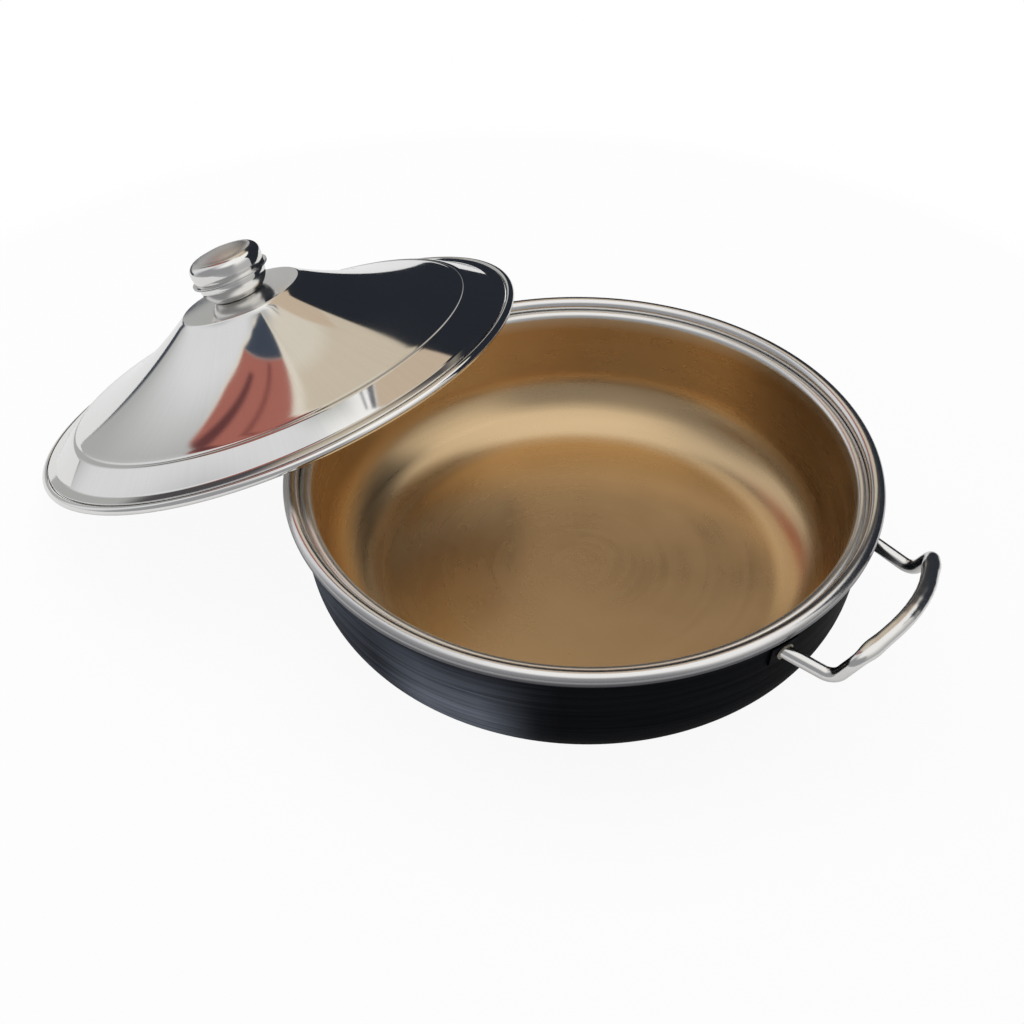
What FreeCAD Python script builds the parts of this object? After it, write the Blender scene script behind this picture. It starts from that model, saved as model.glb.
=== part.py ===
import FreeCAD, Part
import math
import os
import re
import Sketcher

# Insulated casserole for flat breads: a double-walled pot with two rod handles, and a loose
# double-walled lid that leans on one handle with its edge on the table.
# Millimetres. Origin: centre of the pot's foot, on the table. +Z up, +X through the free handle;
# the lid leans over the other handle, towards -X. Every lid piece is modelled upright about the
# lid's own axis, from the lowest plane of its edge bead, and is then placed in the leaning pose.

SIZES = {
    # pot: rim, mouth and walls
    "pot_tall": 74.0,
    "mouth_radius": 118.0,
    "lip_round": 3.0,
    "lip_drop": 3.8,
    "lip_leg": 3.2,
    "bead_round": 3.4,
    "skirt_drop": 1.4,
    "skirt_thick": 1.0,
    "shell_inset": 1.0,
    "neck_drop": 9.0,
    "sheet_thick": 0.8,
    "wall_slope": 8.6,
    "shell_corner": 36.0,
    "bowl_corner": 30.0,
    "floor_foam": 8.0,
    "fit_gap": 0.15,
    "foam_gap": 0.2,
    # pot: foot
    "base_tall": 5.6,
    "base_radius": 82.0,
    "base_web": 2.2,
    "base_rib": 14.0,
    "base_lift": 1.4,
    "base_edge": 2.0,
    "foot_inset": 9.0,
    "foot_wide": 5.6,
    "foot_sink": 1.2,
    "foot_edge": 1.1,
    "plug_radius": 6.8,
    "plug_flange": 9.4,
    "plug_thick": 0.7,
    "plug_long": 2.0,
    "screw_circle": 48.0,
    "screw_round": 1.4,
    "screw_head": 2.8,
    "head_tall": 1.2,
    "screw_long": 6.4,
    # handles
    "rod_round": 3.0,
    "grip_wide": 3.7,
    "grip_thick": 3.2,
    "grip_round": 60.0,
    "grip_straight": 6.5,
    "root_half": 40.0,
    "root_drop": 16.4,
    "bend_half": 37.8,
    "bend_reach": 10.4,
    "bend_drop": 21.8,
    "bend_round": 7.0,
    "riser_half": 36.4,
    "riser_reach": 18.2,
    "riser_drop": 9.0,
    "riser_round": 6.0,
    "grip_reach": 26.2,
    "grip_drop": 4.0,
    "pad_wide": 14.0,
    "pad_tall": 10.0,
    "pad_thick": 1.0,
    "weld_wide": 0.9,
    # lid: edge, shoulder, flank, plateau
    "lid_radius": 121.7,
    "lid_bead": 2.0,
    "flange_wide": 1.8,
    "flange_flat": 1.7,
    "flange_level": 4.2,
    "flange_rise": 0.5,
    "cove_wide": 2.9,
    "cove_rise": 1.3,
    "cove_round": 4.0,
    "shoulder_wide": 15.0,
    "shoulder_rise": 6.8,
    "shoulder_round": 34.0,
    "step_wide": 0.6,
    "step_rise": 0.6,
    "flank_rise": 31.2,
    "flank_round": 230.0,
    "flat_radius": 30.5,
    "flat_blend": 1.2,
    "flat_rise": 0.8,
    "flat_round": 4.0,
    "flat_crown": 1.3,
    # lid: liner and foam
    "liner_depth": 16.3,
    "liner_flat": 52.0,
    "liner_blend": 8.0,
    "liner_thick": 0.6,
    "liner_flange": 5.0,
    "lid_foam_inset": 1.7,
    "lid_foam_gap": 1.0,
    # knob
    "knob_radius": 17.6,
    "knob_lip": 18.6,
    "knob_waist": 11.5,
    "cup_tall": 10.5,
    "cup_belly": 10.6,
    "belly_inset": 1.2,
    "lip_thick": 0.45,
    "cap_neck": 16.4,
    "cap_wall": 6.0,
    "cap_shoulder": 4.2,
    "cap_crown": 2.3,
    "knob_sheet": 0.8,
    "bush_radius": 6.0,
    "bush_tall": 11.0,
    "stud_round": 2.0,
    "stud_grip": 8.0,
    "stud_head": 4.0,
    "stud_head_tall": 2.6,
    "washer_radius": 8.0,
    "washer_thick": 1.0,
    "washer_room": 1.2,
    "seat_margin": 1.0,
    # where the lid leans
    "lean_offset": 23.0,
    "lean_gap": 0.3,
}

DERIVED = {
    "wall_tan": "tan(wall_slope * 1deg)",
    "wall_cos": "cos(wall_slope * 1deg)",
    "wall_sin": "sin(wall_slope * 1deg)",
    "wall_run": "sheet_thick / wall_cos",
    # rim: the bead lies against the rounded lip of the bowl
    "lip_centre": "mouth_radius + lip_round",
    "lip_level": "pot_tall - lip_drop - lip_round",
    "bead_level": "pot_tall - bead_round",
    "bead_centre": "lip_centre + sqrt(pow(lip_round + bead_round + fit_gap; 2) - pow(bead_level - lip_level; 2))",
    "rim_radius": "bead_centre + bead_round",
    "leg_foot": "lip_level - lip_leg",
    # shell: straight wall, round corner, flat bottom
    "neck_level": "pot_tall - neck_drop",
    "shell_radius": "bead_centre - shell_inset",
    "shell_top": "lip_level",
    "skirt_inner": "shell_radius + wall_tan * (shell_top - neck_level) + fit_gap",
    "skirt_outer": "skirt_inner + skirt_thick",
    "skirt_foot": "bead_level - bead_round - skirt_drop",
    "shell_turn": "base_tall + shell_corner * (1 - wall_sin)",
    "shell_turn_radius": "shell_radius - wall_tan * (neck_level - shell_turn)",
    "shell_flat": "shell_turn_radius - shell_corner * wall_cos",
    # bowl: the same wall inside, one foam layer above the shell's bottom
    "bowl_floor": "base_tall + 2 * sheet_thick + floor_foam",
    "bowl_turn": "bowl_floor + bowl_corner * (1 - wall_sin)",
    "bowl_turn_radius": "mouth_radius - wall_tan * (lip_level - bowl_turn)",
    "bowl_flat": "bowl_turn_radius - bowl_corner * wall_cos",
    # foot
    "foot_radius": "base_radius - foot_inset",
    "foot_inner": "foot_radius - foot_wide / 2",
    "foot_outer": "foot_radius + foot_wide / 2",
    "web_level": "base_tall - fit_gap - base_web",
    # handles
    "pad_level": "pot_tall - root_drop",
    "pad_inner": "shell_radius - wall_tan * (neck_level - pad_level) + fit_gap",
    # lid, upwards from the lowest plane of its bead
    "lid_bead_centre": "lid_radius - lid_bead",
    "flange_edge": "lid_bead_centre - flange_wide",
    "cove_outer": "flange_edge - flange_flat",
    "cove_level": "flange_level + flange_rise",
    "shoulder_foot": "cove_outer - cove_wide",
    "shoulder_level": "cove_level + cove_rise",
    "step_foot": "shoulder_foot - shoulder_wide",
    "step_level": "shoulder_level + shoulder_rise",
    "shoulder_tilt": "atan(shoulder_rise / shoulder_wide) / 1deg",
    "skin_in": "sheet_thick * sin(shoulder_tilt * 1deg)",
    "skin_down": "sheet_thick * cos(shoulder_tilt * 1deg)",
    "flank_foot": "step_foot - step_wide",
    "flank_level": "step_level + step_rise",
    "flank_top": "flank_level + flank_rise",
    "flat_edge": "flat_radius - flat_blend",
    "flat_level": "flank_top + flat_rise",
    "crown_level": "flat_level + flat_crown",
    "knob_seat": "knob_waist + seat_margin",
    "liner_edge": "lid_bead_centre - lid_bead - fit_gap",
    "liner_level": "flange_level - sheet_thick - fit_gap",
    "liner_foot": "liner_edge - liner_flange",
    "liner_tilt": "atan((liner_depth - liner_level + liner_thick) / (liner_foot - liner_flat)) / 1deg",
    "liner_turn": "liner_blend / tan(liner_tilt * 0.5deg)",
    "cone_start": "liner_flat + liner_blend * cos(liner_tilt * 1deg)",
    "cone_level": "liner_depth - liner_blend * sin(liner_tilt * 1deg)",
    "lid_foam_edge": "flank_foot - lid_foam_inset",
    "knob_level": "crown_level + fit_gap",
    "seam_level": "knob_level + cup_tall",
    "neck_foot": "seam_level + fit_gap + lip_thick",
    "wall_top": "seam_level + cap_wall",
    "neck_in": "knob_radius - cap_neck",
    "cap_belly": "(pow(neck_in; 2) + pow(wall_top - neck_foot; 2)) / (2 * neck_in)",
    "brow": "knob_radius - cap_shoulder",
    "brow_level": "seam_level + cap_wall + cap_shoulder",
    "dome_round": "(pow(brow; 2) / cap_crown + cap_crown) / 2",
    "dome_centre": "brow_level + cap_crown - dome_round",
    # leaning pose: bead on the table at one end, liner on the handle's grip at the other
    "grip_level": "pot_tall - grip_drop",
    "grip_axis": "rim_radius + grip_reach",
    "first_tilt": "asin((grip_level - lid_bead) / (lid_bead_centre + lean_offset)) / 1deg",
    "grip_stand": "sqrt(pow(grip_wide * sin(first_tilt * 1deg); 2) + pow(grip_thick * cos(first_tilt * 1deg); 2))",
    "grip_above": "liner_depth - grip_stand - lean_gap - lid_bead",
    "lean_span": "sqrt(pow(lid_bead_centre + lean_offset; 2) + pow(grip_above; 2))",
    "lean_part": "atan(grip_above / (lid_bead_centre + lean_offset)) / 1deg",
    "lid_tilt": "asin((grip_level - lid_bead) / lean_span) / 1deg - lean_part",
    "tilt_sin": "sin(lid_tilt * 1deg)",
    "tilt_cos": "cos(lid_tilt * 1deg)",
    "lid_x": "grip_above * tilt_sin - lean_offset * tilt_cos - grip_axis + lid_bead * tilt_sin",
    "lid_z": "lid_bead_centre * tilt_sin + lid_bead - lid_bead * tilt_cos",
}

doc = FreeCAD.newDocument("Casserole")


def make_sheet(name, cells, text_of):
    """One row per value: its name in column A, the value in column B."""
    sheet = doc.addObject("Spreadsheet::Sheet", name)
    for row, (alias, value) in enumerate(cells.items(), start=1):
        sheet.set("A%d" % row, alias)
        sheet.set("B%d" % row, text_of(value))
        sheet.setAlias("B%d" % row, alias)
    return sheet


def bind(text):
    """Write a formula of plain names as one that reads the two sheets."""
    def full_name(match):
        word = match.group(0)
        if word in SIZES:
            return "Sizes." + word
        if word in DERIVED:
            return "Derived." + word
        return word
    return re.sub(r"[A-Za-z_]\w*", full_name, str(text))


sizes = make_sheet("Sizes", SIZES, str)
derived = make_sheet("Derived", DERIVED, lambda text: "=" + bind(text))
doc.recompute()


def value(text):
    """The number that a formula of sheet names has now."""
    return float(sizes.evalExpression(bind(text)))


nodes = []


def keep(obj, name):
    """Give a finished sub-part the name that its file gets."""
    obj.Label = name
    nodes.append(obj)
    return obj


# --- outlines and turned bodies ------------------------------------------------------------

def new_body(name):
    return doc.addObject("PartDesign::Body", name + "_body")


def plane_of(body, role):
    return [plane for plane in body.Origin.OriginFeatures if plane.Role == role][0]


def arc_between(start, end, radius, side):
    """Arc of less than half a turn; its centre is left of the way from start to end when side is 1."""
    chord = end.sub(start)
    half = chord.Length / 2
    reach = math.sqrt(max(radius * radius - half * half, 0.0))
    left = FreeCAD.Vector(-chord.y, chord.x, 0).normalize()
    centre = start + chord * 0.5 + left * reach * side
    first, last = (start, end) if side > 0 else (end, start)
    angle_of = lambda point: math.atan2(point.y - centre.y, point.x - centre.x)
    circle = Part.Circle(centre, FreeCAD.Vector(0, 0, 1), radius)
    return Part.ArcOfCircle(circle, angle_of(first), angle_of(last))


def outline(body, name, points, role="XZ_Plane"):
    """Closed sketch through points (across, up), each a formula bound to the sheets.

    A point with two more entries, a radius and a side, starts an arc instead of a line.
    """
    sketch = body.newObject("Sketcher::SketchObject", name)
    sketch.AttachmentSupport = [(plane_of(body, role), "")]
    sketch.MapMode = "FlatFace"
    spots = [FreeCAD.Vector(value(point[0]), value(point[1]), 0) for point in points]
    ends = []
    for index, point in enumerate(points):
        start = spots[index]
        end = spots[(index + 1) % len(points)]
        if len(point) == 4:
            edge = arc_between(start, end, value(point[2]), point[3])
            ends.append((1, 2) if point[3] > 0 else (2, 1))
        else:
            edge = Part.LineSegment(start, end)
            ends.append((1, 2))
        sketch.addGeometry(edge, False)
    for index, point in enumerate(points):
        after = (index + 1) % len(points)
        sketch.addConstraint(Sketcher.Constraint("Coincident", index, ends[index][1], after, ends[after][0]))
        corner = (index, ends[index][0])
        if point[0] == "0":
            sketch.addConstraint(Sketcher.Constraint("PointOnObject", corner[0], corner[1], -2))
        else:
            hold(sketch, Sketcher.Constraint("DistanceX", -1, 1, *corner, spots[index].x), point[0])
        hold(sketch, Sketcher.Constraint("DistanceY", -1, 1, *corner, spots[index].y), point[1])
        if len(point) == 4:
            hold(sketch, Sketcher.Constraint("Radius", index, value(point[2])), point[2])
    return sketch


def hold(sketch, constraint, formula):
    """Add a dimension and bind it to its formula."""
    number = sketch.addConstraint(constraint)
    sketch.setExpression("Constraints[%d]" % number, bind(formula))


def turned(body, name, points, sector=None):
    """Turn an outline about the Z axis, all round or through a sector centred on +X."""
    sketch = outline(body, name + "_outline", points)
    feature = body.newObject("PartDesign::Revolution", name + "_turned")
    feature.Profile = sketch
    feature.ReferenceAxis = (sketch, ["V_Axis"])
    feature.Angle = 360
    if sector:
        feature.Midplane = True
        feature.setExpression("Angle", bind(sector))
    body.Tip = feature
    return feature


def turned_node(name, points):
    body = new_body(name)
    turned(body, name, points)
    return keep(body, name)


def ring_of_pockets(body, name, radius, low, high):
    """Three round holes on the screw circle, cut from height low to height high."""
    before = body.Shape.Volume if body.Shape.Solids else 0
    sketch = body.newObject("Sketcher::SketchObject", name + "_circles")
    sketch.AttachmentSupport = [(plane_of(body, "XY_Plane"), "")]
    sketch.MapMode = "FlatFace"
    sketch.setExpression("AttachmentOffset.Base.z", bind(low))
    for index, turn in enumerate(SCREW_TURNS):
        across, along = screw_spot(turn)
        spot = FreeCAD.Vector(value(across), value(along), 0)
        sketch.addGeometry(Part.Circle(spot, FreeCAD.Vector(0, 0, 1), value(radius)), False)
        hold(sketch, Sketcher.Constraint("DistanceX", -1, 1, index, 3, spot.x), across)
        hold(sketch, Sketcher.Constraint("DistanceY", -1, 1, index, 3, spot.y), along)
        hold(sketch, Sketcher.Constraint("Radius", index, value(radius)), radius)
    pocket = body.newObject("PartDesign::Pocket", name)
    pocket.Profile = sketch
    pocket.Reversed = True
    pocket.setExpression("Length", bind("(%s) - (%s)" % (high, low)))
    body.Tip = pocket
    doc.recompute()
    if before and not body.Shape.Volume < before:
        raise RuntimeError(name + " cuts nothing")


SCREW_TURNS = (30, 150, 270)
CUT_PAST = 1.0


def screw_spot(turn):
    return "screw_circle * cos(%d * 1deg)" % turn, "screw_circle * sin(%d * 1deg)" % turn


# --- walls shared by several pieces -----------------------------------------------------------

def shell_outer(level):
    return "shell_radius - wall_tan * (neck_level - (%s))" % level


def shell_inner(level):
    return shell_outer(level) + " - wall_run"


def bowl_inner(level):
    return "mouth_radius - wall_tan * (lip_level - (%s))" % level


def bowl_outer(level):
    return bowl_inner(level) + " + wall_run"


def corner_points(flat, level, radius, growth):
    """Bottom and wall ends of a round corner whose arc is larger by growth than its radius."""
    arc = "(%s + (%s))" % (radius, growth)
    foot = (flat, "%s - (%s)" % (level, growth))
    side_across = "%s + %s * wall_cos" % (flat, arc)
    side_up = "%s + %s - %s * wall_sin" % (level, radius, arc)
    return arc, foot, (side_across, side_up)


# --- pot -----------------------------------------------------------------------------------------

def make_inner_bowl():
    """Deep-drawn bowl: flat floor, round corner, slightly open wall and a lip rolled outwards."""
    outer_arc, outer_foot, outer_side = corner_points("bowl_flat", "bowl_floor", "bowl_corner", "sheet_thick")
    inner_arc, inner_foot, inner_side = corner_points("bowl_flat", "bowl_floor", "bowl_corner", "0")
    lip_inner = "lip_round - sheet_thick"
    return turned_node("inner_bowl", [
        ("0", outer_foot[1]),
        (*outer_foot, outer_arc, 1),
        outer_side,
        (bowl_outer("lip_level"), "lip_level", lip_inner, -1),
        ("lip_centre", "lip_level + " + lip_inner, lip_inner, -1),
        ("lip_centre + " + lip_inner, "lip_level"),
        ("lip_centre + " + lip_inner, "leg_foot"),
        ("lip_centre + lip_round", "leg_foot"),
        ("lip_centre + lip_round", "lip_level", "lip_round", 1),
        ("lip_centre", "lip_level + lip_round", "lip_round", 1),
        ("mouth_radius", "lip_level"),
        (*inner_side, inner_arc, -1),
        inner_foot,
        ("0", inner_foot[1]),
    ])


def make_outer_shell():
    """Outer can: round corner, filling hole in the middle of its bottom, three screw holes."""
    outer_arc, outer_foot, outer_side = corner_points("shell_flat", "base_tall", "shell_corner", "0")
    inner_arc, inner_foot, inner_side = corner_points("shell_flat", "base_tall", "shell_corner", "-sheet_thick")
    body = new_body("outer_shell")
    turned(body, "outer_shell", [
        ("plug_radius + fit_gap", "base_tall"),
        (*outer_foot, outer_arc, 1),
        outer_side,
        (shell_outer("shell_top"), "shell_top"),
        (shell_inner("shell_top"), "shell_top"),
        (*inner_side, inner_arc, -1),
        inner_foot,
        ("plug_radius + fit_gap", "base_tall + sheet_thick"),
    ])
    doc.recompute()
    ring_of_pockets(body, "outer_shell_screw_holes", "screw_round + fit_gap / 2",
                    "base_tall - %s" % CUT_PAST, "base_tall + sheet_thick + %s" % CUT_PAST)
    return keep(body, "outer_shell")


def make_pot_insulation():
    """Foam that fills the space between bowl and shell, with room for plug and screw ends."""
    low_arc, low_foot, low_side = corner_points(
        "shell_flat", "base_tall", "shell_corner", "-sheet_thick - foam_gap")
    high_arc, high_foot, high_side = corner_points(
        "bowl_flat", "bowl_floor", "bowl_corner", "sheet_thick + foam_gap")
    foam_top = "leg_foot - 2 * foam_gap"
    plug_top = "base_tall + plug_long + foam_gap"
    body = new_body("pot_insulation")
    turned(body, "pot_insulation", [
        ("0", plug_top),
        ("plug_radius + foam_gap", plug_top),
        ("plug_radius + foam_gap", low_foot[1]),
        (*low_foot, low_arc, 1),
        low_side,
        (shell_inner(foam_top) + " - foam_gap", foam_top),
        (bowl_outer(foam_top) + " + foam_gap", foam_top),
        (*high_side, high_arc, -1),
        high_foot,
        ("0", high_foot[1]),
    ])
    doc.recompute()
    ring_of_pockets(body, "pot_insulation_screw_room", "screw_round + foam_gap", "base_tall",
                    "web_level + head_tall + screw_long + foam_gap")
    return keep(body, "pot_insulation")


def make_rim_ring():
    """Rolled rim: round bead outside the lip, with a skirt that covers the shell's top edge."""
    diagonal = "bead_round / sqrt(2)"
    roof = "shell_top + fit_gap"
    under_bead = "bead_level - sqrt(pow(bead_round; 2) - pow(skirt_outer - bead_centre; 2))"
    return turned_node("rim_ring", [
        ("bead_centre", "pot_tall", "bead_round", -1),
        ("rim_radius", "bead_level", "bead_round", -1),
        ("skirt_outer", under_bead),
        ("skirt_outer", "skirt_foot"),
        ("skirt_inner", "skirt_foot"),
        ("skirt_inner", roof),
        ("lip_centre + lip_round + 2 * fit_gap", roof),
        ("bead_centre - " + diagonal, "bead_level - " + diagonal, "bead_round", -1),
        ("bead_centre - bead_round", "bead_level", "bead_round", -1),
    ])


def make_base_cover():
    """Moulded foot: a disc under the shell with a thicker ring that holds the rubber."""
    body = new_body("base_cover")
    top = "base_tall - fit_gap"
    plug_room = "base_tall - plug_thick - 2 * fit_gap"
    turned(body, "base_cover", [
        ("0", "web_level"),
        ("base_radius - base_rib", "web_level"),
        ("base_radius - base_rib", "base_lift"),
        ("foot_inner - fit_gap", "base_lift"),
        ("foot_inner - fit_gap", "base_lift + foot_sink"),
        ("foot_outer + fit_gap", "base_lift + foot_sink"),
        ("foot_outer + fit_gap", "base_lift"),
        ("base_radius - base_edge", "base_lift", "base_edge", 1),
        ("base_radius", "base_lift + base_edge"),
        ("base_radius", top),
        ("plug_flange + 2 * fit_gap", top),
        ("plug_flange + 2 * fit_gap", plug_room),
        ("0", plug_room),
    ])
    doc.recompute()
    under = "web_level - %s" % CUT_PAST
    ring_of_pockets(body, "base_cover_screw_holes", "screw_round + fit_gap", under,
                    "base_tall + %s" % CUT_PAST)
    ring_of_pockets(body, "base_cover_head_room", "screw_head + 2 * fit_gap", under, "web_level + head_tall")
    return keep(body, "base_cover")


def make_foot_ring():
    """Rubber ring let into the foot; the pot stands on it."""
    top = "base_lift + foot_sink - fit_gap"
    return turned_node("foot_ring", [
        ("foot_inner + foot_edge", "0"),
        ("foot_outer - foot_edge", "0", "foot_edge", 1),
        ("foot_outer", "foot_edge"),
        ("foot_outer", top),
        ("foot_inner", top),
        ("foot_inner", "foot_edge", "foot_edge", 1),
    ])


def make_foam_plug():
    """Plug of the hole through which the foam is poured."""
    return turned_node("foam_plug", [
        ("0", "base_tall - plug_thick - fit_gap"),
        ("plug_flange", "base_tall - plug_thick - fit_gap"),
        ("plug_flange", "base_tall - fit_gap"),
        ("plug_radius", "base_tall - fit_gap"),
        ("plug_radius", "base_tall + plug_long"),
        ("0", "base_tall + plug_long"),
    ])


def bound(kind, name, **formulas):
    """A Part primitive or boolean whose properties are bound to formulas."""
    obj = doc.addObject(kind, name)
    for key, formula in formulas.items():
        obj.setExpression(key.replace("__", "."), bind(formula))
    return obj


def make_base_screws():
    """Three countersunk-flush screws that hold the foot to the shell."""
    screws = []
    for number, turn in enumerate(SCREW_TURNS, start=1):
        across, along = screw_spot(turn)
        place = {"Placement__Base__x": across, "Placement__Base__y": along}
        head = bound("Part::Cylinder", "screw_head_%d" % number, Radius="screw_head", Height="head_tall",
                     Placement__Base__z="web_level", **place)
        shank = bound("Part::Cylinder", "screw_shank_%d" % number, Radius="screw_round",
                      Height="screw_long", Placement__Base__z="web_level + head_tall", **place)
        screw = doc.addObject("Part::Fuse", "base_screw_%d" % number)
        screw.Base = head
        screw.Tool = shank
        screws.append(screw)
    group = doc.addObject("Part::Compound", "base_screws_group")
    group.Links = screws
    return keep(group, "base_screws")


# --- handles -------------------------------------------------------------------------------------

WELD_GAP = 0.05
# Largest share of the radius at which the grip's arc would reach the risers unbroken.
GRIP_SLACK = 0.9

X, Y, Z = FreeCAD.Vector(1, 0, 0), FreeCAD.Vector(0, 1, 0), FreeCAD.Vector(0, 0, 1)


def rounded_path(points, radii):
    """Straight runs joined by tangent arcs, as one wire."""
    edges = []
    last = points[0]
    for before, corner, after, radius in zip(points, points[1:], points[2:], radii):
        back = before.sub(corner).normalize()
        ahead = after.sub(corner).normalize()
        half_angle = back.getAngle(ahead) / 2
        start = corner + back * (radius / math.tan(half_angle))
        end = corner + ahead * (radius / math.tan(half_angle))
        inward = (back + ahead).normalize()
        middle = corner + inward * (radius / math.sin(half_angle) - radius)
        edges.append(Part.LineSegment(last, start).toShape())
        edges.append(Part.Arc(start, middle, end).toShape())
        last = end
    edges.append(Part.LineSegment(last, points[-1]).toShape())
    return Part.Wire(edges)


def handle_spots():
    """Corners of the rod's centre line at +Y, then the middle of the grip."""
    rim = value("rim_radius")
    top = value("pot_tall")

    def spot(reach, half, drop):
        return FreeCAD.Vector(rim + reach, half, top - drop)

    root_across = math.sqrt(value("pad_inner") ** 2 - value("root_half") ** 2) - rim
    root = spot(root_across - value("rod_round"), value("root_half"), value("root_drop"))
    bend = spot(value("bend_reach"), value("bend_half"), value("bend_drop"))
    riser = spot(value("riser_reach"), value("riser_half"), value("riser_drop"))
    middle = spot(value("grip_reach"), 0, value("grip_drop"))
    return root, bend, riser, middle


def grip_arc(riser, middle):
    """Arc through the middle of the grip, tangent to the straight runs that leave the risers."""
    half = riser.y
    out = middle - FreeCAD.Vector(riser.x, 0, riser.z)
    rise = out.Length
    out.normalize()
    widest = (half * half / rise + rise) / 2
    radius = min(value("grip_round"), GRIP_SLACK * widest)
    square = 1 - (radius / half) ** 2
    linear = 2 * (radius - rise)
    constant = (radius - rise) ** 2 - radius ** 2
    apex = (math.sqrt(linear ** 2 - 4 * square * constant) - linear) / (2 * square)
    turn = math.degrees(math.atan(apex / half))
    return middle - out * radius, out.cross(Y), turn


def wall_envelope(grow):
    """Solid of the shell's outside, larger by grow, that the handle's ends are cut to."""
    low = value("pot_tall") - 2 * value("bend_drop")
    high = value("pot_tall")
    low_radius = value(shell_outer(str(low))) + grow
    high_radius = value(shell_outer(str(high))) + grow
    return Part.makeCone(low_radius, high_radius, high - low, FreeCAD.Vector(0, 0, low))


def handle_shape():
    """Round rod on each side that carries an oval, arched grip with rounded ends."""
    root, bend, riser, middle = handle_spots()
    centre, axis, turn = grip_arc(riser, middle)
    wide = value("grip_wide")
    oval = Part.Ellipse(middle + X * wide, middle + Z * value("grip_thick"), middle)
    oval_face = Part.Face(Part.Wire(oval.toShape()))
    chord = Part.LineSegment(middle - X * wide, middle + X * wide).toShape()
    half_face = Part.Face(Part.Wire([oval.toShape(0, math.pi), chord]))
    first = oval_face.copy().rotate(centre, axis, -turn)
    pieces = [first.revolve(centre, axis, 2 * turn)]
    for side in (1, -1):
        swing = FreeCAD.Rotation(axis, turn * side)
        arc_end = centre + swing.multVec(middle - centre)
        along = swing.multVec(Y * side)
        straight = along * value("grip_straight")
        pieces.append(oval_face.copy().rotate(centre, axis, turn * side).extrude(straight))
        cap = half_face.revolve(middle, X, -180 * side)
        pieces.append(cap.rotate(centre, axis, turn * side).translate(straight))
        corners = [FreeCAD.Vector(spot.x, spot.y * side, spot.z) for spot in (root, bend, riser)]
        path = rounded_path(corners + [arc_end], [value("bend_round"), value("riser_round")])
        round_end = Part.Circle(corners[0], corners[1] - corners[0], value("rod_round"))
        pieces.append(path.makePipeShell([Part.Wire(round_end.toShape())], True, False))
    whole = pieces[0].fuse(pieces[1:])
    return whole.cut(wall_envelope(value("fit_gap") + value("pad_thick"))).Solids[0]


def placed_feature(name, shape, turn):
    feature = doc.addObject("Part::Feature", name + "_shape")
    feature.Shape = shape
    feature.Placement = FreeCAD.Placement(FreeCAD.Vector(), FreeCAD.Rotation(FreeCAD.Vector(0, 0, 1), turn))
    return keep(feature, name)


def weld_shapes():
    """Weld beads where the rod's ends meet the pads."""
    root, bend = handle_spots()[:2]
    rod = value("rod_round")
    wide = value("weld_wide")
    pad_face = value("fit_gap") + value("pad_thick")
    beads = []
    for side in (1, -1):
        start = FreeCAD.Vector(root.x, root.y * side, root.z)
        along = (FreeCAD.Vector(bend.x, bend.y * side, bend.z) - start).normalize()
        length = 2 * rod + pad_face + wide
        flare = Part.makeCone(rod + 3 * wide, rod, length, start, along)
        bore = Part.makeCylinder(rod + WELD_GAP, 3 * length, start - along * length, along)
        beads.append(flare.cut(bore).cut(wall_envelope(pad_face)))
    return Part.makeCompound(beads)


def make_pad(name, turn):
    """Curved steel pad on the shell under one end of a handle."""
    body = new_body(name)
    low = "pad_level - pad_tall / 2"
    high = "pad_level + pad_tall / 2"
    turned(body, name, [
        (shell_outer(low) + " + fit_gap", low),
        (shell_outer(low) + " + fit_gap + pad_thick", low),
        (shell_outer(high) + " + fit_gap + pad_thick", high),
        (shell_outer(high) + " + fit_gap", high),
    ], sector="2 * asin(pad_wide / 2 / pad_inner)")
    body.setExpression("Placement", bind(
        "placement(vector(0; 0; 0); rotation(vector(0; 0; 1); %s))" % turn))
    return keep(body, name)


def make_handle(side, turn):
    placed_feature(side + "_handle", handle_shape(), turn)
    placed_feature(side + "_handle_welds", weld_shapes(), turn)
    root_turn = "asin(root_half / pad_inner) / 1deg"
    make_pad(side + "_handle_front_pad", "%d + %s" % (turn, root_turn))
    make_pad(side + "_handle_rear_pad", "%d - %s" % (turn, root_turn))


# --- lid -----------------------------------------------------------------------------------------

LID_PLACE = "placement(vector(lid_x; 0; lid_z); rotation(vector(0; 1; 0); -lid_tilt))"


def lean(obj):
    """Put a piece of the lid in the leaning pose."""
    obj.setExpression("Placement", bind(LID_PLACE))
    return obj


def make_lid_shell():
    """Spun cover: flange, cove, rounded shoulder, small step, hollow flank and flat top."""
    sheet = "sheet_thick"
    return lean(turned_node("lid_outer_shell", [
        ("stud_round + fit_gap", "crown_level - " + sheet),
        ("knob_seat", "crown_level - " + sheet),
        ("flat_edge", "flat_level - " + sheet, "flat_round", -1),
        ("flat_radius - skin_in", "flank_top - skin_down", "flank_round", 1),
        ("flank_foot - skin_in", "flank_level - skin_down"),
        ("step_foot - skin_in", "step_level - skin_down", "shoulder_round", -1),
        ("shoulder_foot - skin_in", "shoulder_level - skin_down", "cove_round + " + sheet, 1),
        ("cove_outer", "cove_level - " + sheet),
        ("flange_edge", "flange_level - " + sheet),
        ("flange_edge", "flange_level"),
        ("cove_outer", "cove_level", "cove_round", -1),
        ("shoulder_foot", "shoulder_level", "shoulder_round", 1),
        ("step_foot", "step_level"),
        ("flank_foot", "flank_level", "flank_round", -1),
        ("flat_radius", "flank_top", "flat_round", 1),
        ("flat_edge", "flat_level"),
        ("knob_seat", "crown_level"),
        ("stud_round + fit_gap", "crown_level"),
    ]))


BEAD_ARCS = 10


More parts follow.
